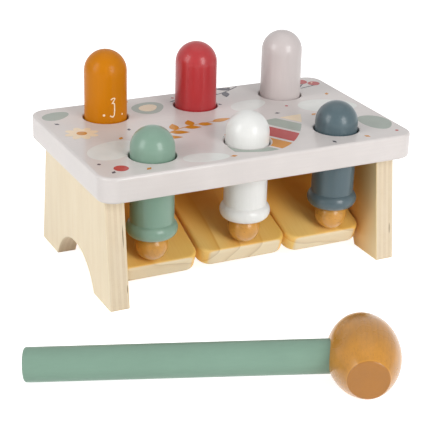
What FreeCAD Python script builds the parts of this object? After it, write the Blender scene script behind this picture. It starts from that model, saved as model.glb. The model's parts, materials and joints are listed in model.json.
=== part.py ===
import FreeCAD, Part
import math
import os

import Sketcher
from FreeCAD import Placement, Rotation, Vector

# A hammer bench for toddlers. A painted board on two plywood sides holds six round pegs in two
# rows of three. Under each column of pegs a plank rocks on a steel rod, so that a peg knocked
# down lifts the one behind it. A barrel-headed mallet lies on the floor in front.
#
# Millimetres. The origin is on the floor, midway between the bench's four feet: X runs along the
# board to the right, Y from front to back and Z up.

SIZES = {
    # Board
    "board_length": 200.0,
    "board_width": 122.6,
    "board_thickness": 15.2,
    "board_corner": 10.0,
    "board_edge": 1.6,
    "hole_edge": 0.8,
    # Two rows of pegs. The outer columns stand a set distance in from the panels.
    "row_pitch": 70.3,
    "peg_to_panel": 22.2,
    # Side panels: a trapezium that widens to the floor, with an arch between two feet
    "panel_height": 67.4,
    "panel_thickness": 12.0,
    "panel_inset": 6.0,
    "panel_top_margin": 14.0,
    "panel_foot_margin": 5.0,
    "panel_edge": 0.8,
    "arch_width": 60.0,
    "arch_to_rod": 1.9,
    # Dowels that join the board to the panels
    "dowel_radius": 3.0,
    "dowel_length": 24.0,
    "dowel_board_depth": 10.0,
    "dowel_pitch": 60.0,
    "dowel_end_gap": 0.5,
    # Steel rod that the planks rock on
    "rod_radius": 2.0,
    "rod_seat_depth": 7.0,
    "rod_end_gap": 0.2,
    "pivot_height": 24.4,
    # Planks that carry the pegs. They fill the space between the panels.
    "plank_overhang": 4.35,
    "plank_thickness": 11.1,
    "centre_plank_width": 57.0,
    "plank_gap": 1.3,
    "plank_side_gap": 0.7,
    "plank_corner": 8.5,
    "plank_edge": 2.0,
    # How far each column rests from its stop, where the back collar meets the board
    "left_slack": 0.76,
    "centre_slack": 1.97,
    "right_slack": 0.6,
    "plank_floor_gap": 4.0,
    # Pegs: a domed shank over a round collar
    "peg_radius": 12.8,
    "peg_height": 65.3,
    "collar_lip": 2.2,
    "collar_height": 8.5,
    # Ball feet pushed into the pegs
    "ball_radius": 9.6,
    "ball_seat_radius": 6.97,
    "stem_radius": 3.0,
    "stem_length": 12.0,
    "stem_end_gap": 0.5,
    "ball_rest_gap": 0.2,
    # Mallet
    "head_radius": 19.1,
    "head_length": 51.0,
    "head_face_radius": 10.5,
    "head_face_edge": 0.8,
    "handle_radius": 9.0,
    "handle_reach": 172.0,
    "handle_seat_depth": 14.0,
    "handle_end_gap": 0.2,
    "handle_edge": 1.6,
    "mallet_right": -7.5,
    "mallet_front": 183.0,
    "mallet_turn": 153.9,
    # Fits
    "seat_clearance": 0.03,
    "running_clearance": 0.06,
    "peg_clearance": 0.9,
}

SHEET = "Sizes"
SIDES = {"left": -1, "right": 1}
COLUMNS = {"left": -1, "centre": 0, "right": 1}
ROWS = {"front": -1, "back": 1}

# Places that several pieces share, worked out from the sizes
PANEL_MIDDLE = "(Sizes.board_length / 2 - Sizes.panel_inset - Sizes.panel_thickness / 2)"
PANEL_INNER = "(Sizes.board_length / 2 - Sizes.panel_inset - Sizes.panel_thickness)"
COLUMN_PITCH = f"({PANEL_INNER} - Sizes.peg_to_panel)"
OUTER_PLANK_INNER = "(Sizes.centre_plank_width / 2 + Sizes.plank_gap)"
OUTER_PLANK_OUTER = f"({PANEL_INNER} - Sizes.plank_side_gap)"
PLANK_LENGTH = "(Sizes.row_pitch + 2 * Sizes.plank_overhang)"
PEG_HOLE_RADIUS = "(Sizes.peg_radius + Sizes.peg_clearance)"
ARCH_HEIGHT = "(Sizes.pivot_height - Sizes.rod_radius - Sizes.arch_to_rod)"
BALL_DROP = "sqrt(Sizes.ball_radius ^ 2 - Sizes.ball_seat_radius ^ 2)"


def size(name):
    """A size as the sheet holds it."""
    return float(getattr(sheet, name))


def value(expression):
    """What an expression in the sheet's sizes comes to."""
    return float(sheet.evalExpression(expression))


def make_sheet():
    """The spreadsheet of driving sizes, one aliased cell for each."""
    cells = doc.addObject("Spreadsheet::Sheet", SHEET)
    for row, (alias, amount) in enumerate(SIZES.items(), start=1):
        cells.set(f"A{row}", str(amount))
        cells.setAlias(f"A{row}", alias)
    doc.recompute()
    return cells


def bind(item, path, expression):
    """Tie one property of an object to the sheet."""
    item.setExpression(path, expression)


def place(item, x="0", y="0", z="0"):
    """Tie the position of a sub-part to the sheet."""
    for axis, expression in zip("xyz", (x, y, z)):
        bind(item, f"Placement.Base.{axis}", f"({expression}) * 1 mm")


def new_body(label):
    """An empty body with the sub-part's name."""
    body = doc.addObject("PartDesign::Body", label)
    body.Label = label
    return body


def new_sketch(body, role, name):
    """A sketch on one of the body's own origin planes."""
    sketch = body.newObject("Sketcher::SketchObject", name)
    plane = next(f for f in body.Origin.OriginFeatures if f.Role == role)
    sketch.AttachmentSupport = (plane, [""])
    sketch.MapMode = "FlatFace"
    return sketch


def limit(sketch, name, expression, kind, *where):
    """A named dimension of a sketch, tied to the sheet. Its starting value is the drawn one."""
    index = sketch.addConstraint(Sketcher.Constraint(kind, *where, value(expression)))
    sketch.renameConstraint(index, name)
    bind(sketch, f"Constraints.{name}", expression)


def pin_point(sketch, name, geometry, end, across, along):
    """Hold a sketch point at a place that the sheet gives, measured from the sketch's origin."""
    for kind, letter, expression in (("DistanceX", "x", across), ("DistanceY", "y", along)):
        if abs(value(expression)) < 1e-9:
            axis = -2 if letter == "x" else -1
            sketch.addConstraint(Sketcher.Constraint("PointOnObject", geometry, end, axis))
        else:
            limit(sketch, f"{name}_{letter}", expression, kind, -1, 1, geometry, end)


def draw_outline(sketch, steps):
    """A closed outline. Each step is (name, across, along) for the next corner, reached by a
    line, or (name, across, along, through_across, through_along) when an arc leads to it."""
    corners = [Vector(value(step[1]), value(step[2]), 0) for step in steps]
    last = None
    for index, step in enumerate(steps):
        start, end = corners[index - 1], corners[index]
        if len(step) == 3:
            edge = sketch.addGeometry(Part.LineSegment(start, end))
            ends = (1, 2)
        else:
            middle = Vector(value(step[3]), value(step[4]), 0)
            arc = Part.Arc(start, middle, end)
            edge = sketch.addGeometry(arc)
            turned = (sketch.getPoint(edge, 1) - start).Length > (sketch.getPoint(edge, 2) - start).Length
            ends = (2, 1) if turned else (1, 2)
            crest = sketch.addGeometry(Part.Point(middle), True)
            sketch.addConstraint(Sketcher.Constraint("PointOnObject", crest, 1, edge))
            pin_point(sketch, f"{step[0]}_crest", crest, 1, step[3], step[4])
        pin_point(sketch, step[0], edge, ends[1], step[1], step[2])
        if last is not None:
            sketch.addConstraint(Sketcher.Constraint("Coincident", last[0], last[1], edge, ends[0]))
        else:
            first = (edge, ends[0])
        last = (edge, ends[1])
    sketch.addConstraint(Sketcher.Constraint("Coincident", last[0], last[1], *first))


def draw_rounded_rectangle(sketch, length, width, corner):
    """A rectangle centred on the sketch's origin, with round corners."""
    half_x, half_y, radius = value(length) / 2, value(width) / 2, value(corner)
    normal = Vector(0, 0, 1)
    sides = [
        (Vector(radius - half_x, -half_y, 0), Vector(half_x - radius, -half_y, 0)),
        (Vector(half_x, radius - half_y, 0), Vector(half_x, half_y - radius, 0)),
        (Vector(half_x - radius, half_y, 0), Vector(radius - half_x, half_y, 0)),
        (Vector(-half_x, half_y - radius, 0), Vector(-half_x, radius - half_y, 0)),
    ]
    turns = [(1, -1), (1, 1), (-1, 1), (-1, -1)]
    lines = [sketch.addGeometry(Part.LineSegment(*ends)) for ends in sides]
    arcs = []
    for quarter, (right, up) in enumerate(turns):
        centre = Vector(right * (half_x - radius), up * (half_y - radius), 0)
        start = math.radians(90 * quarter - 90)
        circle = Part.Circle(centre, normal, radius)
        arcs.append(sketch.addGeometry(Part.ArcOfCircle(circle, start, start + math.pi / 2)))
    for quarter, (line, arc) in enumerate(zip(lines, arcs)):
        sketch.addConstraint(Sketcher.Constraint("Tangent", line, 2, arc, 1))
        sketch.addConstraint(Sketcher.Constraint("Tangent", arc, 2, lines[(quarter + 1) % 4], 1))
        if quarter:
            sketch.addConstraint(Sketcher.Constraint("Equal", arcs[0], arc))
        direction = "Vertical" if quarter % 2 else "Horizontal"
        sketch.addConstraint(Sketcher.Constraint(direction, line))
    sketch.addConstraint(Sketcher.Constraint("Symmetric", arcs[0], 3, arcs[2], 3, -1, 1))
    limit(sketch, "length", length, "DistanceX", lines[3], 1, lines[1], 1)
    limit(sketch, "width", width, "DistanceY", lines[0], 1, lines[2], 1)
    limit(sketch, "corner", corner, "Radius", arcs[0])


def draw_circle(sketch, name, across, along, radius):
    """A circle at a place and of a radius that the sheet gives."""
    centre = Vector(value(across), value(along), 0)
    circle = sketch.addGeometry(Part.Circle(centre, Vector(0, 0, 1), value(radius)))
    pin_point(sketch, name, circle, 3, across, along)
    limit(sketch, f"{name}_radius", radius, "Radius", circle)


def pad(body, sketch, length, name, midplane=False):
    """Thicken a sketch, upwards or to both sides."""
    feature = body.newObject("PartDesign::Pad", name)
    feature.Profile = sketch
    feature.Midplane = midplane
    bind(feature, "Length", length)
    doc.recompute()
    return feature


def pocket(body, sketch, name, depth=None, reverse=False):
    """Cut a sketch away, to a depth or right through to both sides."""
    before = body.Shape.Volume
    feature = body.newObject("PartDesign::Pocket", name)
    feature.Profile = sketch
    feature.Reversed = reverse
    if depth is None:
        feature.Midplane = True
        feature.Type = "ThroughAll"
    else:
        bind(feature, "Length", depth)
    doc.recompute()
    if body.Shape.Volume >= before:
        raise RuntimeError(f"{body.Label}: {name} cuts nothing")
    return feature


def revolve(body, sketch, name, axis="V_Axis"):
    """Turn a profile a full circle about a sketch axis."""
    feature = body.newObject("PartDesign::Revolution", name)
    feature.Profile = sketch
    feature.ReferenceAxis = (sketch, [axis])
    feature.Angle = 360
    doc.recompute()
    return feature


def round_edges(body, base, radius, name, chosen):
    """Round the edges of a feature that a test picks out."""
    edges = [f"Edge{i}" for i, edge in enumerate(base.Shape.Edges, start=1) if chosen(edge)]
    feature = body.newObject("PartDesign::Fillet", name)
    feature.Base = (base, edges)
    bind(feature, "Radius", radius)
    doc.recompute()
    return feature


def lies_at(edge, axis, *levels):
    """True for an edge that lies wholly at one of some levels along an axis."""
    box = edge.BoundBox
    low, high = getattr(box, f"{axis}Min"), getattr(box, f"{axis}Max")
    return any(abs(low - level) < 1e-3 and abs(high - level) < 1e-3 for level in levels)


def make_top_board():
    """The painted board, with its six peg holes and the dowel holes under it."""
    body = new_body("top_board")
    outline = new_sketch(body, "XY_Plane", "board_outline")
    draw_rounded_rectangle(outline, "Sizes.board_length", "Sizes.board_width", "Sizes.board_corner")
    slab = pad(body, outline, "Sizes.board_thickness", "board_slab")
    levels = (0, size("board_thickness"))
    slab = round_edges(body, slab, "Sizes.board_edge", "board_edges",
                       lambda edge: lies_at(edge, "Z", *levels))
    holes = new_sketch(body, "XY_Plane", "peg_hole_circles")
    for row, back in ROWS.items():
        for column, right in COLUMNS.items():
            draw_circle(holes, f"{row}_{column}", f"{right} * {COLUMN_PITCH}",
                        f"{back} * Sizes.row_pitch / 2", PEG_HOLE_RADIUS)
    cut = pocket(body, holes, "peg_holes")
    rim = value(PEG_HOLE_RADIUS)
    round_edges(body, cut, "Sizes.hole_edge", "peg_hole_edges",
                lambda edge: lies_at(edge, "Z", *levels)
                and isinstance(edge.Curve, Part.Circle) and abs(edge.Curve.Radius - rim) < 1e-6)
    sockets = new_sketch(body, "XY_Plane", "dowel_hole_circles")
    for side, right in SIDES.items():
        for row, back in ROWS.items():
            draw_circle(sockets, f"{side}_{row}", f"{right} * {PANEL_MIDDLE}",
                        f"{back} * Sizes.dowel_pitch / 2",
                        "Sizes.dowel_radius + Sizes.seat_clearance")
    pocket(body, sockets, "dowel_holes", "Sizes.dowel_board_depth + Sizes.dowel_end_gap", reverse=True)
    place(body, z="Sizes.panel_height")


def make_side_panel(side, right):
    """A plywood side: two feet and an arch below, dowel holes above, the rod's seat inside."""
    body = new_body(f"{side}_side_panel")
    outline = new_sketch(body, "YZ_Plane", "panel_outline")
    foot = "(Sizes.board_width / 2 - Sizes.panel_foot_margin)"
    shoulder = "(Sizes.board_width / 2 - Sizes.panel_top_margin)"
    draw_outline(outline, [
        ("front_foot", f"-{foot}", "0"),
        ("front_top", f"-{shoulder}", "Sizes.panel_height"),
        ("back_top", shoulder, "Sizes.panel_height"),
        ("back_foot", foot, "0"),
        ("arch_back", "Sizes.arch_width / 2", "0"),
        ("arch_front", "-Sizes.arch_width / 2", "0", "0", ARCH_HEIGHT),
    ])
    slab = pad(body, outline, "Sizes.panel_thickness", "panel_slab", midplane=True)
    top = size("panel_height")
    round_edges(body, slab, "Sizes.panel_edge", "panel_edges",
                lambda edge: edge.BoundBox.ZMin < top - 1e-3)
    seat = new_sketch(body, "YZ_Plane", "rod_seat_circle")
    bind(seat, "AttachmentOffset.Base.z", f"{-right} * (Sizes.panel_thickness / 2) * 1 mm")
    draw_circle(seat, "rod_seat", "0", "Sizes.pivot_height",
                "Sizes.rod_radius + Sizes.seat_clearance")
    pocket(body, seat, "rod_seat", "Sizes.rod_seat_depth", reverse=right > 0)
    sockets = new_sketch(body, "XY_Plane", "dowel_hole_circles")
    bind(sockets, "AttachmentOffset.Base.z", "Sizes.panel_height * 1 mm")
    for row, back in ROWS.items():
        draw_circle(sockets, row, "0", f"{back} * Sizes.dowel_pitch / 2",
                    "Sizes.dowel_radius + Sizes.seat_clearance")
    pocket(body, sockets, "dowel_holes",
           "Sizes.dowel_length - Sizes.dowel_board_depth + Sizes.dowel_end_gap")
    place(body, x=f"{right} * {PANEL_MIDDLE}")


def make_dowel(side, right, row, back):
    """A wooden dowel, half in a panel and half in the board."""
    dowel = doc.addObject("Part::Cylinder", f"{side}_{row}_dowel")
    dowel.Label = f"{side}_{row}_dowel"
    bind(dowel, "Radius", "Sizes.dowel_radius")
    bind(dowel, "Height", "Sizes.dowel_length")
    place(dowel, x=f"{right} * {PANEL_MIDDLE}", y=f"{back} * Sizes.dowel_pitch / 2",
          z="Sizes.panel_height + Sizes.dowel_board_depth - Sizes.dowel_length")


def make_pivot_rod():
    """The steel rod across the bench, seated in both panels."""
    rod = doc.addObject("Part::Cylinder", "pivot_rod")
    rod.Label = "pivot_rod"
    rod.Placement = Placement(Vector(), Rotation(Vector(0, 1, 0), 90))
    reach = f"({PANEL_INNER} + Sizes.rod_seat_depth - Sizes.rod_end_gap)"
    bind(rod, "Radius", "Sizes.rod_radius")
    bind(rod, "Height", f"2 * {reach}")
    place(rod, x=f"-{reach}", z="Sizes.pivot_height")


def make_lever(column, right):
    """A plank that rocks on the rod, resting with its front end down."""
    body = new_body(f"{column}_lever")
    width, middle = "Sizes.centre_plank_width", "0"
    if right:
        width = f"{OUTER_PLANK_OUTER} - {OUTER_PLANK_INNER}"
        middle = f"{right} * ({OUTER_PLANK_OUTER} + {OUTER_PLANK_INNER}) / 2"
    outline = new_sketch(body, "XY_Plane", "plank_outline")
    draw_rounded_rectangle(outline, width, PLANK_LENGTH, "Sizes.plank_corner")
    slab = pad(body, outline, "Sizes.plank_thickness", "plank_slab", midplane=True)
    half = size("plank_thickness") / 2
    round_edges(body, slab, "Sizes.plank_edge", "plank_edges",
                lambda edge: lies_at(edge, "Z", -half, half))
    bore = new_sketch(body, "YZ_Plane", "rod_bore_circle")
    draw_circle(bore, "rod_bore", "0", "0", "Sizes.rod_radius + Sizes.running_clearance")
    pocket(body, bore, "rod_bore")
    body.Placement = Placement(Vector(), Rotation(Vector(1, 0, 0), math.degrees(rest_tilt(column))))
    place(body, x=middle, z="Sizes.pivot_height")


def ball_height(tilt, back):
    """How high a ball's centre is when it rests on a tilted plank, low on the front end and high
    on the back one. A ball sits on the plank's flat, or past it on the rounded end."""
    reach = size("row_pitch") / 2
    ball = size("ball_radius")
    edge = size("plank_edge")
    half = size("plank_thickness") / 2
    up = back * reach * math.tan(tilt) + (half + ball) / math.cos(tilt)
    contact = reach * math.cos(tilt) + back * up * math.sin(tilt)
    end = value(PLANK_LENGTH) / 2 - edge
    if contact > end:
        across = end * math.cos(tilt) - back * (half - edge) * math.sin(tilt)
        up = back * end * math.sin(tilt) + (half - edge) * math.cos(tilt)
        up += math.sqrt((ball + edge) ** 2 - (reach - across) ** 2)
    return size("pivot_height") + up + size("ball_rest_gap")


def collar_stop():
    """How far above its foot a collar is as wide as the hole, so that the board stops it."""
    half = size("collar_height") / 2
    lip = size("collar_lip")
    arc = (half ** 2 + lip ** 2) / (2 * lip)
    return half + math.sqrt(arc ** 2 - (arc - lip + size("peg_clearance")) ** 2)


def can_tilt(column, tilt):
    """True while the back collar stays under the board and the plank's front end off the floor."""
    collar = ball_height(tilt, 1) + value(BALL_DROP) + collar_stop()
    end = value(PLANK_LENGTH) / 2 - size("plank_edge")
    half = size("plank_thickness") / 2 - size("plank_edge")
    lowest = size("pivot_height") - size("plank_edge")
    lowest -= end * math.sin(tilt) + half * math.cos(tilt)
    under_board = collar + size(f"{column}_slack") < size("panel_height")
    return under_board and lowest > size("plank_floor_gap")


def rest_tilt(column):
    """The angle at which a plank rests, front end down, found by halving."""
    low, high = 0.0, math.radians(45)
    for _ in range(40):
        middle = (low + high) / 2
        if can_tilt(column, middle):
            low = middle
        else:
            high = middle
    return low


def peg_place(column, right, back):
    """The axis of a peg in the board, and the height of its ball's centre at rest."""
    height = ball_height(rest_tilt(column), back)
    return f"{right} * {COLUMN_PITCH}", f"{back} * Sizes.row_pitch / 2", str(height)


def make_peg(row, back, column, right):
    """A turned peg: round top, straight shank and collar, with a blind hole for its ball foot."""
    body = new_body(f"{row}_{column}_peg")
    profile = new_sketch(body, "XZ_Plane", "peg_profile")
    bore = "Sizes.stem_radius + Sizes.seat_clearance"
    bore_depth = "Sizes.stem_length + Sizes.stem_end_gap"
    dome = "Sizes.peg_radius * sin(45)"
    draw_outline(profile, [
        ("bore_end", "0", bore_depth),
        ("bore_corner", bore, bore_depth),
        ("bore_mouth", bore, "0"),
        ("collar_foot", "Sizes.peg_radius", "0"),
        ("collar_top", "Sizes.peg_radius", "Sizes.collar_height",
         "Sizes.peg_radius + Sizes.collar_lip", "Sizes.collar_height / 2"),
        ("shank_top", "Sizes.peg_radius", "Sizes.peg_height - Sizes.peg_radius"),
        ("apex", "0", "Sizes.peg_height",
         dome, f"Sizes.peg_height - Sizes.peg_radius + {dome}"),
    ])
    revolve(body, profile, "peg_turning")
    across, along, height = peg_place(column, right, back)
    place(body, across, along, f"{height} + {BALL_DROP}")


def make_ball(row, back, column, right):
    """The wooden ball under a peg, cut flat where it meets the collar, with a stem above."""
    body = new_body(f"{row}_{column}_ball")
    profile = new_sketch(body, "XZ_Plane", "ball_profile")
    draw_outline(profile, [
        ("stem_end", "0", f"{BALL_DROP} + Sizes.stem_length"),
        ("stem_corner", "Sizes.stem_radius", f"{BALL_DROP} + Sizes.stem_length"),
        ("stem_foot", "Sizes.stem_radius", BALL_DROP),
        ("seat_rim", "Sizes.ball_seat_radius", BALL_DROP),
        ("ball_foot", "0", "-Sizes.ball_radius", "Sizes.ball_radius", "0"),
    ])
    revolve(body, profile, "ball_turning")
    place(body, *peg_place(column, right, back))


def lay_mallet(item):
    """Lay a piece of the mallet on the floor, the head's belly and the handle's end touching it."""
    drop = math.asin((size("head_radius") - size("handle_radius")) / size("handle_reach"))
    item.Placement = Placement(Vector(), Rotation(size("mallet_turn"), math.degrees(drop), 0))
    place(item, x="Sizes.mallet_right", y="-Sizes.mallet_front", z="Sizes.head_radius")


def make_mallet_head():
    """The barrel-shaped head, turned about Y, with a blind hole for the handle."""
    body = new_body("mallet_head")
    profile = new_sketch(body, "XY_Plane", "head_profile")
    draw_outline(profile, [
        ("near_centre", "0", "-Sizes.head_length / 2"),
        ("near_rim", "Sizes.head_face_radius", "-Sizes.head_length / 2"),
        ("far_rim", "Sizes.head_face_radius", "Sizes.head_length / 2", "Sizes.head_radius", "0"),
        ("far_centre", "0", "Sizes.head_length / 2"),
    ])
    barrel = revolve(body, profile, "head_turning")
    half = size("head_length") / 2
    round_edges(body, barrel, "Sizes.head_face_edge", "head_face_edges",
                lambda edge: lies_at(edge, "Y", -half, half))
    socket = new_sketch(body, "YZ_Plane", "handle_socket_circle")
    bind(socket, "AttachmentOffset.Base.z", "(Sizes.head_radius - Sizes.handle_seat_depth) * 1 mm")
    draw_circle(socket, "socket", "0", "0", "Sizes.handle_radius + Sizes.seat_clearance")
    pocket(body, socket, "handle_socket", "Sizes.handle_seat_depth", reverse=True)
    lay_mallet(body)


def make_mallet_handle():
    """The painted dowel handle, seated in the head."""
    body = new_body("mallet_handle")
    circle = new_sketch(body, "YZ_Plane", "handle_circle")
    inner = "(Sizes.head_radius - Sizes.handle_seat_depth + Sizes.handle_end_gap)"
    bind(circle, "AttachmentOffset.Base.z", f"{inner} * 1 mm")
    draw_circle(circle, "handle", "0", "0", "Sizes.handle_radius")
    dowel = pad(body, circle, f"Sizes.handle_reach - {inner}", "handle_dowel")
    reach = size("handle_reach")
    round_edges(body, dowel, "Sizes.handle_edge", "handle_end",
                lambda edge: lies_at(edge, "X", reach))
    lay_mallet(body)


def make_bench():
    """All the pieces."""
    make_top_board()
    for side, right in SIDES.items():
        make_side_panel(side, right)
        for row, back in ROWS.items():
            make_dowel(side, right, row, back)
    make_pivot_rod()
    for column, right in COLUMNS.items():
        make_lever(column, right)
        for row, back in ROWS.items():
            make_peg(row, back, column, right)
            make_ball(row, back, column, right)
    make_mallet_head()
    make_mallet_handle()
    doc.recompute()


def check_document():
    """Stop if any object failed to compute or any sub-part isn't a valid solid."""
    for item in doc.Objects:
        if "Invalid" in item.State or "Error" in item.State:
            raise RuntimeError(f"{item.Label}: {item.State}")
    for item in sub_parts():
        if item.Shape.isNull() or not item.Shape.isValid():
            raise RuntimeError(f"{item.Label}: the shape isn't valid")


def sub_parts():
    """The objects that are pieces of the toy."""
    return [item for item in doc.Objects if item.TypeId in ("PartDesign::Body", "Part::Cylinder")]


def export_parts():
    """Write one STEP file for each sub-part, named by its label."""
    os.makedirs("parts", exist_ok=True)
    for item in sub_parts():
        item.Shape.exportStep(f"parts/{item.Label}.step")


doc = FreeCAD.newDocument("hammer_bench")
sheet = make_sheet()
make_bench()
check_document()
export_parts()
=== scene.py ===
import json
import math

import bmesh
import bpy
from mathutils import Matrix, Vector
from mathutils.geometry import delaunay_2d_cdt


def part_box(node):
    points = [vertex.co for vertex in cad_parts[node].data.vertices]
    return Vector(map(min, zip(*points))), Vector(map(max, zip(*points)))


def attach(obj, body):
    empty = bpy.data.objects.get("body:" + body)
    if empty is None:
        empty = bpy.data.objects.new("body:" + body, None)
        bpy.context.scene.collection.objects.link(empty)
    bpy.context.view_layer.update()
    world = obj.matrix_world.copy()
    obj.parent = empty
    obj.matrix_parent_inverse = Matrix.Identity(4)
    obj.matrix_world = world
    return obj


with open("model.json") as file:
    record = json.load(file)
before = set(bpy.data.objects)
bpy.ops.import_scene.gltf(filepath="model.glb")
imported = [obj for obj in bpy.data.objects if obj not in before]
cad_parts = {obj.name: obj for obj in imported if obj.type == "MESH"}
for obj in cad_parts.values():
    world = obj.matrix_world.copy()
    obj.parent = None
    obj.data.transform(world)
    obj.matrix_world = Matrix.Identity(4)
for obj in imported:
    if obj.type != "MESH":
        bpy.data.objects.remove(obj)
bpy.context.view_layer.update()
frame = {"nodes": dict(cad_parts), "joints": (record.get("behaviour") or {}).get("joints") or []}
MM = 0.001


# ---------------------------------------------------------------- colours

def srgb(red, green, blue):
    """A screen colour, 0 to 255, as the linear colour that a shader takes."""
    parts = [level / 255 for level in (red, green, blue)]
    linear = [p / 12.92 if p <= 0.04045 else ((p + 0.055) / 1.055) ** 2.4 for p in parts]
    return (*linear, 1.0)


def shaded(colour, factor):
    """A linear colour made lighter or darker."""
    return (*(min(1.0, part * factor) for part in colour[:3]), 1.0)


BOARD = srgb(226, 219, 216)
OCHRE = srgb(206, 124, 0)
RED = srgb(184, 48, 52)
LILAC = srgb(213, 203, 201)
SAGE = srgb(131, 162, 144)
WHITE = srgb(238, 238, 235)
SLATE = srgb(82, 101, 108)
INK_DARK = srgb(78, 74, 86)
INK_SAGE = srgb(168, 178, 168)
INK_PALE = srgb(232, 233, 229)
INK_RED = srgb(192, 62, 62)
INK_OCHRE = srgb(214, 140, 28)
INK_CREAM = srgb(250, 228, 196)


# ---------------------------------------------------------------- node trees

class Finish:
    """A material under construction, with one short call for each kind of node it uses."""

    def __init__(self, name, roughness, coat=0.0, coat_roughness=0.1, specular=0.5):
        self.material = bpy.data.materials.new(name)
        self.material.use_nodes = True
        self.tree = self.material.node_tree
        self.shader = self.tree.nodes["Principled BSDF"]
        self.set("Roughness", roughness)
        self.set("Coat Weight", coat)
        self.set("Coat Roughness", coat_roughness)
        self.set("Specular IOR Level", specular)
        self.place = self.node("ShaderNodeTexCoord").outputs["Object"]

    def feed(self, socket, value):
        """Give a socket a value, or link it to another socket."""
        if isinstance(value, bpy.types.NodeSocket):
            self.tree.links.new(value, socket)
        elif value is not None:
            socket.default_value = value

    def set(self, name, value):
        """Give one of the shader's own sockets its value."""
        self.feed(self.shader.inputs[name], value)

    def node(self, kind, *values, **settings):
        """A new node. Values fill its inputs in order, and settings are its properties."""
        node = self.tree.nodes.new(kind)
        for name, setting in settings.items():
            setattr(node, name, setting)
        for socket, value in zip(node.inputs, values):
            self.feed(socket, value)
        return node

    def math(self, operation, *values):
        """One sum on numbers."""
        return self.node("ShaderNodeMath", *values, operation=operation).outputs[0]

    def stretch(self, where, across, along, up):
        """Coordinates multiplied along each axis."""
        node = self.node("ShaderNodeVectorMath", where, (across, along, up), operation="MULTIPLY")
        return node.outputs[0]

    def turned(self, where, centre, turn):
        """Coordinates in the frame of a piece that is moved to a centre and turned."""
        node = self.node("ShaderNodeMapping", where, centre, turn, vector_type="TEXTURE")
        return node.outputs[0]

    def axes(self, where):
        """The three coordinates of a vector."""
        return self.node("ShaderNodeSeparateXYZ", where).outputs

    def noise(self, where, scale, detail=2.0, roughness=0.5):
        """Smooth random values about one half."""
        node = self.node("ShaderNodeTexNoise", where)
        for name, value in (("Scale", scale), ("Detail", detail), ("Roughness", roughness)):
            node.inputs[name].default_value = value
        return node.outputs["Fac"]

    def fit(self, value, low, high, start=0.0, end=1.0):
        """A value stretched from one range to another, and held inside it."""
        node = self.node("ShaderNodeMapRange", value, low, high, start, end)
        return node.outputs[0]

    def blend(self, factor, first, second, mode="MIX"):
        """Two colours mixed."""
        node = self.node("ShaderNodeMix", data_type="RGBA", blend_type=mode)
        self.feed(node.inputs["Factor"], factor)
        self.feed(node.inputs[6], first)
        self.feed(node.inputs[7], second)
        return node.outputs[2]

    def ramp(self, value, *stops):
        """A colour for each value, from (place, colour) stops."""
        node = self.node("ShaderNodeValToRGB", value)
        points = node.color_ramp.elements
        while len(points) < len(stops):
            points.new(0.5)
        for point, (place, colour) in zip(points, stops):
            point.position = place
            point.color = colour
        return node.outputs[0]

    def bump(self, height, depth):
        """Relief of so many metres for a height of one."""
        node = self.node("ShaderNodeBump")
        node.inputs["Distance"].default_value = depth
        self.feed(node.inputs["Height"], height)
        self.set("Normal", node.outputs[0])
        return node.outputs[0]


# ---------------------------------------------------------------- paints and woods

def painted(name, colour, grain, roughness=0.36, coat=0.22, coat_roughness=0.2, specular=0.25):
    """Sprayed paint on sanded wood: a faint mottle, the grain showing through, orange peel."""
    paint = Finish(name, roughness, coat, coat_roughness, specular)
    cloud = paint.noise(paint.place, 38, 3)
    fibre = paint.noise(paint.stretch(paint.place, *grain), 1, 3, 0.6)
    speck = paint.noise(paint.place, 1700, 1)
    tone = paint.blend(paint.fit(cloud, 0.3, 0.7), shaded(colour, 0.955), shaded(colour, 1.035))
    tone = paint.blend(paint.fit(fibre, 0.35, 0.75, 0.0, 0.5), tone, shaded(colour, 0.94))
    tone = paint.blend(paint.fit(speck, 0.66, 0.8, 0.0, 0.35), tone, shaded(colour, 0.86))
    paint.set("Base Color", tone)
    rough = paint.fit(cloud, 0.3, 0.7, roughness - 0.04, roughness + 0.05)
    paint.set("Roughness", rough)
    peel = paint.noise(paint.place, 620, 2)
    height = paint.math("ADD", paint.math("MULTIPLY", peel, 0.6), fibre)
    paint.bump(height, 0.00003)
    return paint.material


UPRIGHT_GRAIN = (900, 900, 60)
BOARD_GRAIN = (40, 700, 700)


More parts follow.
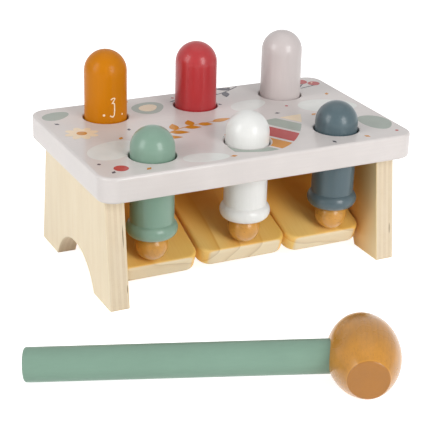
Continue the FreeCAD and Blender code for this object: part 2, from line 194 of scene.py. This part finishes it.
def plywood(name, node):
    """Lacquered birch plywood. Long-grain and cross-grain plies lie in turn through the thickness,
    and the odd small split shows in a cross-grain ply."""
    low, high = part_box(node)
    ply = Finish(name, 0.5, 0.1, 0.3, 0.25)
    x, y, z = ply.axes(ply.place)
    through = ply.fit(x, low.x, high.x, 0.0, PLIES)
    layer = ply.math("FLOOR", through)
    cross = ply.math("MODULO", layer, 2.0)
    within = ply.math("FRACT", through)
    # Glue line where two plies meet
    edge = ply.math("MINIMUM", within, ply.math("SUBTRACT", 1.0, within))
    glue = ply.fit(edge, 0.0, 0.1, 1.0, 0.0)
    # Veneer whose grain runs up the panel, a different piece in each ply
    shifted = ply.node("ShaderNodeCombineXYZ", ply.math("MULTIPLY", layer, 0.37), y, z).outputs[0]
    long_grain = ply.noise(ply.stretch(shifted, 1, 520, 22), 1, 4, 0.65)
    figure = ply.noise(ply.stretch(shifted, 1, 70, 9), 1, 2)
    pores = ply.noise(ply.stretch(shifted, 1, 2600, 150), 1, 1)
    face = ply.ramp(long_grain, (0.3, srgb(249, 235, 207)), (0.52, srgb(248, 233, 204)),
                    (0.72, srgb(245, 228, 196)))
    face = ply.blend(ply.fit(figure, 0.35, 0.7, 0.0, 0.6), face, srgb(246, 230, 198))
    face = ply.blend(ply.fit(pores, 0.62, 0.74, 0.0, 0.12), face, srgb(226, 200, 158))
    # End grain of the cross plies
    dots = ply.noise(ply.stretch(ply.place, 2400, 2400, 1500), 1, 2)
    streak = ply.noise(ply.stretch(shifted, 1, 160, 30), 1, 2)
    end = ply.ramp(dots, (0.35, srgb(240, 224, 196)), (0.7, srgb(226, 204, 168)))
    end = ply.blend(ply.fit(streak, 0.4, 0.72, 0.0, 0.5), end, srgb(228, 208, 174))
    uneven = ply.fit(streak, 0.3, 0.65, 0.2, 0.6)
    tone = ply.blend(ply.math("MULTIPLY", cross, uneven), face, end)
    tone = ply.blend(ply.math("MULTIPLY", glue, ply.math("MULTIPLY", uneven, 0.28)), tone, srgb(206, 176, 132))
    split = ply.noise(ply.stretch(shifted, 1, 420, 75), 1, 1)
    split = ply.math("MULTIPLY", ply.fit(split, 0.735, 0.78), cross)
    tone = ply.blend(ply.math("MULTIPLY", split, 0.75), tone, srgb(104, 80, 52))
    for along, up, length in ply_marks(node):
        reach_x = ply.math("DIVIDE", ply.math("SUBTRACT", x, along), 0.00036)
        reach_z = ply.math("DIVIDE", ply.math("SUBTRACT", z, up), length / 2)
        square = ply.math("ADD", ply.math("POWER", reach_x, 2.0), ply.math("POWER", reach_z, 2.0))
        spot = ply.math("MULTIPLY", ply.fit(square, 0.2, 1.0, 0.8, 0.0), ply.math("LESS_THAN", y, -0.03))
        tone = ply.blend(spot, tone, srgb(112, 84, 54))
    # Painted shade: faces that look forward or back are made a little darker.
    facing = ply.axes(ply.node("ShaderNodeNewGeometry").outputs["Normal"])[1]
    edge_shade = ply.fit(ply.math("ABSOLUTE", facing), 0.6, 0.9, 0.0, 0.8)
    tone = ply.blend(edge_shade, tone, srgb(238, 234, 234), "MULTIPLY")
    # Painted bounce light and shade: the inner face is tinted orange, deeper toward the back, as light off the
    # planks and the board's shadow would tint it.
    inner = high.x if high.x < 0 else low.x
    depth = ply.math("ABSOLUTE", ply.math("SUBTRACT", x, inner))
    shade_toward_back = ply.fit(y, -52 * MM, -30 * MM)
    bounce_and_shade = ply.blend(shade_toward_back, srgb(247, 222, 172), srgb(244, 184, 92))
    tone = ply.blend(ply.fit(depth, 0.2 * MM, 0.7 * MM, 0.9, 0.0), tone, bounce_and_shade)
    ply.set("Base Color", tone)
    ply.set("Roughness", ply.fit(dots, 0.3, 0.7, 0.42, 0.55))
    height = ply.math("SUBTRACT", long_grain, ply.math("MULTIPLY", glue, 0.6))
    height = ply.math("SUBTRACT", height, split)
    ply.bump(height, 0.00004)
    return ply.material


PLIES = 7


def ply_marks(node):
    """Small dark slits in a panel's front edge: (across, height of the middle, length)."""
    low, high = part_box(node)
    if low.x < 0:
        return [(low.x + 9.9 * MM, 43 * MM, 15 * MM), (low.x + 11.0 * MM, 12 * MM, 6 * MM)]
    return [(low.x + 9.4 * MM, 19.5 * MM, 8 * MM)]


PLANK_THICKNESS = 11.1 * MM
PLANK_EDGE = 2 * MM


def pine(name, column, pith, spacing, seed):
    """A lacquered pine plank, with growth rings about a pith that lies off the plank."""
    rock = next(j for j in frame["joints"] if j["name"] == f"{column}_lever_rock")
    tilt = math.radians(rock["range_deg"][1]) / 2
    wood = Finish(name, 0.4, 0.2, 0.2, 0.25)
    local = wood.turned(wood.place, rock["pos_m"], (tilt, 0, 0))
    x, y, z = wood.axes(local)
    drift = wood.noise(wood.stretch(local, 22, 5 + seed, 22), 1, 2)
    from_pith_x = wood.math("SUBTRACT", x, pith[0])
    from_pith_z = wood.math("SUBTRACT", z, pith[1])
    squares = wood.math("ADD", wood.math("POWER", from_pith_x, 2.0), wood.math("POWER", from_pith_z, 2.0))
    radius = wood.math("SQRT", squares)
    rings = wood.math("ADD", wood.math("DIVIDE", radius, spacing), wood.math("MULTIPLY", drift, 2.0))
    ring = wood.math("FRACT", rings)
    fibre = wood.noise(wood.stretch(local, 1500, 45, 1500), 1, 3, 0.6)
    cloud = wood.noise(wood.stretch(local, 60, 12, 60), 1, 2)
    dots = wood.noise(wood.stretch(local, 2600, 400, 2600), 1, 2)
    tone = wood.ramp(ring, (0.0, srgb(254, 217, 134)), (0.5, srgb(253, 212, 126)),
                     (0.86, srgb(249, 202, 110)), (0.95, srgb(236, 182, 90)), (1.0, srgb(253, 216, 132)))
    tone = wood.blend(wood.fit(cloud, 0.35, 0.7, 0.0, 0.6), tone, srgb(248, 200, 102))
    tone = wood.blend(wood.fit(fibre, 0.45, 0.75, 0.0, 0.35), tone, srgb(238, 184, 92))
    # Painted shade and bounce light: the plank turns a deeper orange toward the back, under the board.
    tone = wood.blend(wood.fit(y, -30 * MM, 5 * MM, 0.0, 0.85), tone, srgb(244, 168, 62))
    # The sawn ends are paler, and their rings greyer
    end = wood.ramp(ring, (0.0, srgb(241, 225, 192)), (0.66, srgb(239, 221, 187)),
                    (0.88, srgb(231, 211, 176)), (0.95, srgb(218, 198, 163)), (1.0, srgb(240, 223, 190)))
    end = wood.blend(wood.fit(dots, 0.5, 0.8, 0.0, 0.3), end, srgb(220, 196, 158))
    reach = half_length(column)
    ends = wood.fit(wood.math("ABSOLUTE", y), reach - 1.2 * MM, reach - 0.4 * MM)
    tone = wood.blend(ends, tone, end)
    wood.set("Base Color", tone)
    wood.set("Roughness", wood.fit(ends, 0.0, 1.0, 0.36, 0.55))
    height = wood.math("ADD", wood.math("MULTIPLY", ring, 0.12), fibre)
    wood.bump(height, 0.00003)
    return wood.material


def half_length(column):
    """Half the length of a plank, from its box, its thickness in the sheet and its tilt."""
    low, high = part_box(f"{column}_lever")
    rock = next(j for j in frame["joints"] if j["name"] == f"{column}_lever_rock")
    tilt = math.radians(rock["range_deg"][1]) / 2
    half_thick = PLANK_THICKNESS / 2 - PLANK_EDGE
    flat = (high.y - low.y) / 2 - PLANK_EDGE - half_thick * math.sin(tilt)
    return flat / math.cos(tilt) + PLANK_EDGE


def turned_wood(name, centre, turn, colour, fleck, gloss=0.36, coat=0.25, ends=None):
    """Lacquered, stained beech turned about the Y axis of its own frame, with short flecks."""
    wood = Finish(name, gloss, coat, 0.2, 0.3)
    local = wood.turned(wood.place, centre, turn)
    x, y, z = wood.axes(local)
    drift = wood.noise(wood.stretch(local, 70, 18, 70), 1, 2)
    layers = wood.math("ADD", wood.math("MULTIPLY", x, 330), wood.math("MULTIPLY", z, 150))
    ring = wood.math("FRACT", wood.math("ADD", layers, wood.math("MULTIPLY", drift, 3.0)))
    fibre = wood.noise(wood.stretch(local, 1300, 70, 1300), 1, 3, 0.6)
    short = wood.noise(wood.stretch(local, 1900, 330, 1900), 1, 1)
    cloud = wood.noise(local, 75, 3)
    tone = wood.ramp(ring, (0.0, shaded(colour, 1.03)), (0.6, colour), (0.9, shaded(colour, 0.93)),
                     (1.0, shaded(colour, 1.02)))
    tone = wood.blend(wood.fit(cloud, 0.42, 0.62, 0.0, 0.8), tone, shaded(colour, 1.22))
    tone = wood.blend(wood.fit(fibre, 0.45, 0.75, 0.0, 0.4), tone, shaded(colour, 0.88))
    tone = wood.blend(wood.fit(short, 0.62, 0.76, 0.0, 0.55), tone, fleck)
    if ends:
        reach, end_colour = ends
        dots = wood.noise(wood.stretch(local, 2100, 300, 2100), 1, 2)
        end = wood.ramp(cloud, (0.3, shaded(end_colour, 0.95)), (0.7, shaded(end_colour, 1.05)))
        end = wood.blend(wood.fit(dots, 0.5, 0.75, 0.0, 0.3), end, shaded(end_colour, 0.88))
        out = wood.math("ABSOLUTE", y)
        # Painted highlight: a lighter band on the rounded rim next to each end face.
        tone = wood.blend(wood.fit(out, reach - 1.2 * MM, reach - 0.7 * MM, 0.0, 0.6), tone,
                          shaded(colour, 1.3))
        mask = wood.fit(out, reach - 0.5 * MM, reach - 0.2 * MM)
        tone = wood.blend(mask, tone, end)
    wood.set("Base Color", tone)
    wood.set("Roughness", wood.fit(cloud, 0.3, 0.7, gloss - 0.05, gloss + 0.08))
    wood.bump(wood.math("ADD", fibre, wood.math("MULTIPLY", ring, 0.4)), 0.00004)
    return wood.material


def drawn_steel(name):
    """Bright wire with fine lines along it."""
    steel = Finish(name, 0.3)
    steel.set("Metallic", 1.0)
    lines = steel.noise(steel.stretch(steel.place, 60, 4000, 4000), 1, 2)
    cloud = steel.noise(steel.place, 90, 2)
    tone = steel.ramp(lines, (0.3, srgb(176, 176, 178)), (0.7, srgb(206, 206, 208)))
    steel.set("Base Color", steel.blend(steel.fit(cloud, 0.4, 0.7, 0.0, 0.3), tone, srgb(158, 156, 154)))
    steel.set("Roughness", steel.fit(lines, 0.3, 0.7, 0.24, 0.4))
    steel.bump(lines, 0.00001)
    return steel.material


# ---------------------------------------------------------------- finishes of the CAD nodes

def dress(node, material):
    """Put a finish in a CAD node's material slots."""
    for slot in frame["nodes"][node].material_slots:
        slot.material = material


def middle(node):
    """The middle of a node's box."""
    low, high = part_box(node)
    return (low + high) / 2


def mallet_turn():
    """How the mallet lies: its X along the handle from the head, its Z as near to up as can be."""
    along = (middle("mallet_handle") - middle("mallet_head")).normalized()
    across = Vector((0, 0, 1)).cross(along).normalized()
    up = along.cross(across)
    return Matrix((along, across, up)).transposed().to_euler()


GLOSS = {"roughness": 0.36, "coat": 0.35, "coat_roughness": 0.14, "specular": 0.3}
SATIN = {"roughness": 0.4, "coat": 0.12, "coat_roughness": 0.16, "specular": 0.12}
PEGS = {
    "front_left": ("green", SAGE, GLOSS),
    "front_centre": ("white", WHITE, GLOSS),
    "front_right": ("slate", SLATE, GLOSS),
    "back_left": ("ochre", OCHRE, SATIN),
    "back_centre": ("red", RED, GLOSS),
    "back_right": ("lilac", LILAC, GLOSS),
}
PLANKS = {
    "left": ((-0.012, -0.105), 0.0094, 0.0),
    "centre": ((-0.062, 0.041), 0.0142, 1.3),
    "right": ((0.03, 0.112), 0.0102, 2.1),
}
BALL_COLOUR = srgb(202, 144, 60)
HEAD_COLOUR = srgb(190, 130, 42)
HEAD_END = srgb(172, 113, 40)


def dress_frame():
    """Every CAD node's finish."""
    dress("top_board", painted("board paint", BOARD, BOARD_GRAIN, 0.34, 0.32, 0.1, 0.2))
    for side in ("left", "right"):
        dress(f"{side}_side_panel", plywood(f"{side} birch plywood", f"{side}_side_panel"))
        for row in ("front", "back"):
            node = f"{side}_{row}_dowel"
            dress(node, turned_wood(f"{node} beech", middle(node), (math.pi / 2, 0, 0),
                                    srgb(218, 188, 144), srgb(180, 140, 96), 0.5))
    dress("pivot_rod", drawn_steel("drawn steel"))
    for column, (pith, spacing, seed) in PLANKS.items():
        dress(f"{column}_lever", pine(f"{column} plank pine", column, pith, spacing, seed))
    for turn, (place, (name, colour, sheen)) in enumerate(PEGS.items()):
        dress(f"{place}_peg", painted(f"{name} peg paint", colour, UPRIGHT_GRAIN, **sheen))
        ball = f"{place}_ball"
        dress(ball, turned_wood(f"{place} ball beech", middle(ball), (0.3, 0.2, 0.9 * turn),
                                BALL_COLOUR, srgb(170, 112, 48), 0.3, 0.5))
    turn = mallet_turn()
    head = frame["nodes"]["mallet_head"]
    centre = middle("mallet_head")
    across = turn.to_matrix() @ Vector((0, 1, 0))
    reach = max(abs((v.co - centre).dot(across)) for v in head.data.vertices)
    dress("mallet_head", turned_wood("mallet head beech", centre, turn, HEAD_COLOUR,
                                     srgb(168, 108, 48), 0.3, 0.5, (reach, HEAD_END)))
    dress("mallet_handle", painted("handle paint", SAGE, (60, 300, 900), 0.42, 0.12, 0.3))


# ---------------------------------------------------------------- printed pieces

def ink(name, colour, roughness=0.34, coat=0.3, coat_roughness=0.1):
    """Screen-printed colour: slightly uneven cover and a fine dot."""
    print_ = Finish(name, roughness, coat, coat_roughness, 0.15)
    cloud = print_.noise(print_.place, 90, 3)
    dots = print_.noise(print_.place, 1900, 1)
    tone = print_.blend(print_.fit(cloud, 0.3, 0.7), shaded(colour, 0.95), shaded(colour, 1.04))
    tone = print_.blend(print_.fit(dots, 0.6, 0.75, 0.0, 0.3), tone, shaded(colour, 0.86))
    print_.set("Base Color", tone)
    print_.bump(dots, 0.00001)
    return print_.material


def circle(x, y, radius, count=40):
    """A round outline."""
    return [(x + radius * math.cos(2 * math.pi * i / count), y + radius * math.sin(2 * math.pi * i / count))
            for i in range(count)]


def pebble(x, y, length, width, turn, wobble=0.06):
    """A rounded stone's outline."""
    points = []
    for i in range(56):
        angle = 2 * math.pi * i / 56
        reach = 1 + wobble * math.sin(2 * angle + 0.7) + wobble * 0.7 * math.cos(3 * angle)
        points.append((length / 2 * reach * math.cos(angle), width / 2 * reach * math.sin(angle)))
    return moved(points, x, y, turn)


def leaf(x, y, length, width, turn):
    """A pointed leaf's outline, from its stalk end at (x, y)."""
    steps = 22
    side = [(length * i / steps, width / 2 * math.sin(math.pi * (i / steps) ** 0.8)) for i in range(steps + 1)]
    back = [(u, -v) for u, v in reversed(side[1:-1])]
    return moved(side + back, x, y, turn)


def moved(points, x, y, turn):
    """Points turned by an angle in degrees and moved."""
    c, s = math.cos(math.radians(turn)), math.sin(math.radians(turn))
    return [(x + c * u - s * v, y + s * u + c * v) for u, v in points]


def ribbon(centre_line, width, taper=1.0):
    """The outline of a pen stroke along a line, with round ends."""
    left, right = [], []
    count = len(centre_line) - 1
    for i, (x, y) in enumerate(centre_line):
        before, after = centre_line[max(i - 1, 0)], centre_line[min(i + 1, count)]
        along = Vector((after[0] - before[0], after[1] - before[1])).normalized()
        half = width / 2 * (1 + (taper - 1) * i / count)
        left.append((x - along.y * half, y + along.x * half))
        right.append((x + along.y * half, y - along.x * half))
        if i == count:
            tip = cap((x, y), half, along)
        if i == 0:
            tail = cap((x, y), half, -along)
    return left + tip + right[::-1] + tail


def cap(centre, radius, along, steps=6):
    """The points of a round end, from its left to its right."""
    start = math.atan2(along.y, along.x) + math.pi / 2
    return [(centre[0] + radius * math.cos(start - math.pi * i / steps),
             centre[1] + radius * math.sin(start - math.pi * i / steps)) for i in range(1, steps)]


def inside(point, outline):
    """True for a point inside an outline."""
    x, y = point
    odd = False
    for (x0, y0), (x1, y1) in zip(outline, outline[1:] + outline[:1]):
        if (y0 > y) != (y1 > y) and x < x0 + (y - y0) / (y1 - y0) * (x1 - x0):
            odd = not odd
    return odd


def filled(outlines, gaps=()):
    """Triangles that fill some outlines and leave some others bare: (points, triangles)."""
    points, edges = [], []
    for outline in [*outlines, *gaps]:
        start = len(points)
        count = len(outline)
        points += [Vector(p) for p in outline]
        edges += [(start + i, start + (i + 1) % count) for i in range(count)]
    found = delaunay_2d_cdt(points, edges, [], 0, 1e-6)
    kept = []
    for face in found[2]:
        centre = sum((found[0][i] for i in face), Vector((0, 0))) / len(face)
        if any(inside(centre, o) for o in outlines) and not any(inside(centre, g) for g in gaps):
            kept.append(tuple(face))
    return found[0], kept


def printed(name, shape, place, body, material, level=0):
    """A thin film of ink. place turns a point of the flat shape and a height into the frame."""
    points, faces = shape
    low, high = (0.004 + 0.03 * level) * MM, (0.03 + 0.03 * level) * MM
    mesh = bmesh.new()
    bottom = [mesh.verts.new(place(p.x, p.y, low)) for p in points]
    top = [mesh.verts.new(place(p.x, p.y, high)) for p in points]
    sides = {}
    for face in faces:
        mesh.faces.new([top[i] for i in face])
        mesh.faces.new([bottom[i] for i in reversed(face)])
        for pair in zip(face, face[1:] + face[:1]):
            sides[pair] = True
    for first, second in sides:
        if (second, first) not in sides:
            mesh.faces.new([bottom[first], bottom[second], top[second], top[first]])
    loose = [v for v in mesh.verts if not v.link_faces]
    bmesh.ops.delete(mesh, geom=loose, context="VERTS")
    bmesh.ops.recalc_face_normals(mesh, faces=mesh.faces[:])
    data = bpy.data.meshes.new(name)
    mesh.to_mesh(data)
    mesh.free()
    piece = bpy.data.objects.new(name, data)
    bpy.context.scene.collection.objects.link(piece)
    data.materials.append(material)
    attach(piece, body)
    return piece


def peg_holes():
    """The rims of the board's peg holes, in millimetres from the board's middle."""
    rims = []
    for row in ("front", "back"):
        for column in ("left", "centre", "right"):
            low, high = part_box(f"{row}_{column}_peg")
            centre = (low + high) / 2 / MM
            rims.append(circle(centre.x, centre.y, 14.75, 64))
    return rims


def sprig(x, y, turn, length, leaves, size):
    """A twig with leaves to both sides and one at its tip: (stem, leaves)."""
    line = [(length * t / 20, length * 0.10 * math.sin(math.pi * t / 20)) for t in range(21)]
    stem = moved(ribbon(line, 1.0, 0.5), x, y, turn)
    outlines = []
    for i in range(leaves):
        u, v = line[3 + round(15 * i / leaves)]
        side = 1 if i % 2 else -1
        spot = leaf(u, v, size * (1 - 0.05 * i), size * 0.44, side * 48 + 6)
        outlines.append(moved(spot, x, y, turn))
    tip = leaf(line[-1][0] - 0.5, line[-1][1], size, size * 0.42, -14)
    outlines.append(moved(tip, x, y, turn))
    return stem, outlines


def striped_leaf(x, y, length, width, turn, stripes):
    """A big leaf cut crosswise into stripes. Each stripe is (from, to) in shares of its length."""
    parts = []
    outline = leaf(0, 0, length, width, 0)
    for start, end in stripes:
        upper = [(u, v) for u, v in outline[:23] if start * length <= u <= end * length]
        edge = []
        for share in (start, end):
            half = width / 2 * math.sin(math.pi * share ** 0.8)
            edge.append((share * length, max(half, 0.02)))
        rim = [edge[0], *[p for p in upper if edge[0][0] < p[0] < edge[1][0]], edge[1]]
        bend = 0.16 * width
        curve = [(u + bend * (1 - (v / (width / 2)) ** 2), v) for u, v in rim]
        low = [(u, -v) for u, v in curve]
        parts.append(moved(curve + low[::-1], x, y, turn))
    return parts


def daisy(x, y, radius, petals):
    """A round flower's petals."""
    outlines = []
    for i in range(petals):
        angle = 360 * i / petals
        c, s = math.cos(math.radians(angle)), math.sin(math.radians(angle))
        outlines.append(pebble(x + 0.62 * radius * c, y + 0.62 * radius * s, 0.78 * radius,
                               0.52 * radius, angle, 0.03))
    return outlines


def tick(x, y, size, turn):
    """A tiny four-cornered diamond."""
    return moved([(size, 0), (0, size * 0.62), (-size, 0), (0, -size * 0.62)], x, y, turn)


def print_board():
    """A scattered leaf and pebble print on the board, running up to the peg holes."""
    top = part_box("top_board")[1].z
    holes = peg_holes()

    def place(u, v, height):
        return Vector((u * MM, v * MM, top + height))

    inks = {
        "dark": ink("dark print", INK_DARK),
        "sage": ink("sage print", INK_SAGE),
        "pale": ink("pale print", INK_PALE),
        "red": ink("red print", INK_RED),
        "ochre": ink("ochre print", INK_OCHRE),
        "cream": ink("cream print", INK_CREAM),
    }
    stem, leaves = sprig(-50, -16, 22, 50, 7, 13)
    dark_stem, dark_leaves = sprig(40, 58, 196, 44, 5, 11)
    bands = striped_leaf(-20, -52, 80, 40, 33, [(0.0, 0.3), (0.33, 0.48), (0.51, 0.66), (0.69, 0.82), (0.85, 1.0)])
    berries = [circle(84, 52, 4.8), circle(91, 46, 4.0), circle(-84, -48, 4.2)]
    stalks = [ribbon([(84 - 0.9 * t, 48 - 0.95 * t) for t in range(9)], 0.8),
              ribbon([(91 - 1.6 * t, 43 - 0.4 * t) for t in range(9)], 0.8)]
    layers = [
        ("pebble_left", "pale", [pebble(-78, -20, 34, 24, 28), pebble(-34, -50, 26, 14, -12)], 0),
        ("pebble_right", "pale", [pebble(76, 4, 36, 24, -24), pebble(30, 22, 26, 17, 18)], 0),
        ("stone_sage", "sage", [pebble(88, -34, 18, 26, 12), pebble(-88, 46, 18, 13, 20),
                                pebble(-30, 40, 22, 20, 30)], 0),
        ("stone_ring", "cream", [pebble(-30, 40, 13, 11, 30)], 1),
        ("sprig_stem", "ochre", [stem], 1),
        ("sprig_leaves", "ochre", leaves, 2),
        ("dark_stem", "dark", [dark_stem], 1),
        ("dark_leaves", "dark", dark_leaves, 2),
        ("leaf_base", "sage", [bands[0], bands[3]], 1),
        ("leaf_middle", "ochre", [bands[1]], 1),
        ("leaf_red", "red", [bands[2]], 1),
        ("leaf_tip", "cream", [bands[4]], 1),
        ("berries", "red", berries, 2),
        ("berry_stalks", "dark", stalks, 1),
        ("berry_shine", "cream", [pebble(83, 53.5, 2.6, 1.3, 38), pebble(90.2, 47.3, 2.1, 1.1, 38)], 3),
        ("flower", "cream", daisy(-84, 12, 10, 8), 1),
        ("flower_eye", "ochre", [circle(-84, 12, 3.1)], 2),
    ]
    for name, colour, outlines, level in layers:
        printed(f"print_{name}", filled(outlines, holes), place, "bench",
                inks[colour], level)
    marks = {"dark": [], "ochre": [], "red": []}
    spots = [(-93, -38), (-70, -54), (-56, 8), (-8, 52), (14, 30), (-18, -54), (60, 56), (88, 24), (47, -55),
             (92, -52), (40, 2), (60, -8), (-64, 58), (-38, 56), (-92, 32), (10, -12), (80, 46), (-66, -4),
             (34, 57), (70, -54), (-10, 27), (52, 12), (-90, -52), (18, 52)]
    for i, (x, y) in enumerate(spots):
        colour = ("dark", "ochre", "dark", "red", "dark", "ochre")[i % 6]
        if i % 3:
            marks[colour].append(tick(x, y, 1.9 + 0.3 * (i % 2), 35 * i))
        else:
            marks[colour].append(circle(x, y, 1.05, 16))
    for colour, outlines in marks.items():
        printed(f"print_marks_{colour}", filled(outlines, holes), place, "bench",
                inks[colour], 2)


def smooth_line(points, steps=7):
    """A curve through points, sampled."""
    line = []
    ends = [points[0], *points, points[-1]]
    for a, b, c, d in zip(ends, ends[1:], ends[2:], ends[3:]):
        for i in range(steps):
            t = i / steps
            line.append(tuple(
                0.5 * (2 * q + (r - p) * t + (2 * p - 5 * q + 4 * r - s) * t ** 2
                       + (3 * q - p - 3 * r + s) * t ** 3)
                for p, q, r, s in zip(a, b, c, d)))
    return [*line, points[-1]]


def print_number():
    """A hand-written 3 with a dot to each side, low on the front of the ochre peg."""
    low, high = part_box("back_left_peg")
    board_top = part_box("top_board")[1].z
    axis = (low + high) / 2
    radius = PEG_RADIUS

    def place(u, v, height):
        turn = NUMBER_ANGLE + u * MM / radius
        reach = radius + height
        return Vector((axis.x + reach * math.cos(turn), axis.y + reach * math.sin(turn),
                       board_top + v * MM))

    cream = ink("number print", INK_CREAM, 0.34, 0.5, 0.16)
    top_stroke = smooth_line([(-1.1, 14.6), (0.0, 15.2), (1.25, 15.1), (0.5, 13.6), (-0.45, 12.2)])
    bowl = smooth_line([(-0.45, 12.2), (0.75, 12.0), (1.05, 9.6), (1.0, 7.0), (0.7, 4.6), (-0.3, 3.75),
                        (-1.55, 4.4)])
    shape = filled([ribbon(top_stroke, 0.66), ribbon(bowl, 0.72)])
    printed("number_three", shape, place, "peg_back_left", cream)
    dots = filled([circle(-5.4, 4.9, 0.72, 20), circle(6.7, 4.4, 0.6, 20)])
    printed("number_dots", dots, place, "peg_back_left", cream)


PEG_RADIUS = 12.8 * MM
NUMBER_ANGLE = math.radians(-92)


# ---------------------------------------------------------------- floor, light, camera

def light_path(tree):
    """One where a ray shows the backdrop itself: to the camera, in gloss and through glass."""
    path = tree.nodes.new("ShaderNodeLightPath")
    total = None
    for name in ("Is Camera Ray", "Is Glossy Ray", "Is Transmission Ray"):
        if total is None:
            total = path.outputs[name]
            continue
        either = tree.nodes.new("ShaderNodeMath")
        either.operation = "MAXIMUM"
        tree.links.new(total, either.inputs[0])
        tree.links.new(path.outputs[name], either.inputs[1])
        total = either.outputs[0]
    return total


def lay_floor():
    """A plain pale floor that shows white and keeps the toy's soft shadow."""
    mesh = bmesh.new()
    bmesh.ops.create_grid(mesh, x_segments=8, y_segments=8, size=FLOOR_SIZE / 2)
    data = bpy.data.meshes.new("floor")
    mesh.to_mesh(data)
    mesh.free()
    floor = bpy.data.objects.new("floor", data)
    bpy.context.scene.collection.objects.link(floor)
    material = bpy.data.materials.new("pale floor")
    material.use_nodes = True
    tree = material.node_tree
    shader = tree.nodes["Principled BSDF"]
    shader.inputs["Base Color"].default_value = (0.9, 0.9, 0.9, 1)
    shader.inputs["Roughness"].default_value = 0.9
    shader.inputs["Specular IOR Level"].default_value = 0.1
    shader.inputs["Emission Color"].default_value = (1, 1, 1, 1)
    lift = tree.nodes.new("ShaderNodeMath")
    lift.operation = "MULTIPLY"
    lift.inputs[1].default_value = FLOOR_LIFT
    tree.links.new(light_path(tree), lift.inputs[0])
    tree.links.new(lift.outputs[0], shader.inputs["Emission Strength"])
    data.materials.append(material)


def light_world():
    """An even pale room, seen as white."""
    world = bpy.data.worlds.new("studio")
    bpy.context.scene.world = world
    world.use_nodes = True
    tree = world.node_tree
    background = tree.nodes["Background"]
    background.inputs["Color"].default_value = (1, 1, 1, 1)
    strength = tree.nodes.new("ShaderNodeMapRange")
    strength.inputs["To Min"].default_value = ROOM_LIGHT
    strength.inputs["To Max"].default_value = 1.0
    tree.links.new(light_path(tree), strength.inputs["Value"])
    tree.links.new(strength.outputs[0], background.inputs["Strength"])


def add_lamp(name, direction, distance, size, power):
    """A square soft box, aimed at the toy from a direction."""
    lamp = bpy.data.lights.new(name, "AREA")
    lamp.shape = "RECTANGLE"
    lamp.size, lamp.size_y = size
    lamp.energy = power
    obj = bpy.data.objects.new(name, lamp)
    bpy.context.scene.collection.objects.link(obj)
    toward = Vector(direction).normalized()
    obj.location = Vector((0, -0.03, 0.05)) + toward * distance
    obj.rotation_euler = toward.to_track_quat("Z", "Y").to_euler()


def set_camera():
    """A long lens, a little above the toy and to its left."""
    camera = bpy.data.cameras.new("camera")
    camera.sensor_width = 36
    camera.lens = 112.3
    camera.shift_x = -0.0306
    camera.shift_y = 0.0095
    camera.clip_start = 0.01
    obj = bpy.data.objects.new("camera", camera)
    bpy.context.scene.collection.objects.link(obj)
    yaw, pitch, roll = math.radians(-27.36), math.radians(-23.51), math.radians(1.93)
    look = (Matrix.Rotation(yaw, 4, "Z") @ Matrix.Rotation(math.pi / 2 + pitch, 4, "X")
            @ Matrix.Rotation(roll, 4, "Z"))
    obj.matrix_world = Matrix.Translation((-0.3442, -0.6796, 0.3507)) @ look
    bpy.context.scene.camera = obj


FLOOR_SIZE = 6.0
FLOOR_LIFT = 0.8
ROOM_LIGHT = 0.34

dress_frame()
print_board()
print_number()
lay_floor()
light_world()
add_lamp("left soft box", (-0.92, -0.1, 0.42), 1.3, (0.55, 0.9), 6.6)
add_lamp("front soft box", (0.22, -0.9, 0.36), 1.3, (0.5, 0.8), 8.8)
add_lamp("top soft box", (0.1, 0.1, 1.0), 1.5, (1.2, 1.2), 1.9)
set_camera()

view = bpy.context.scene.view_settings
view.view_transform = "Standard"
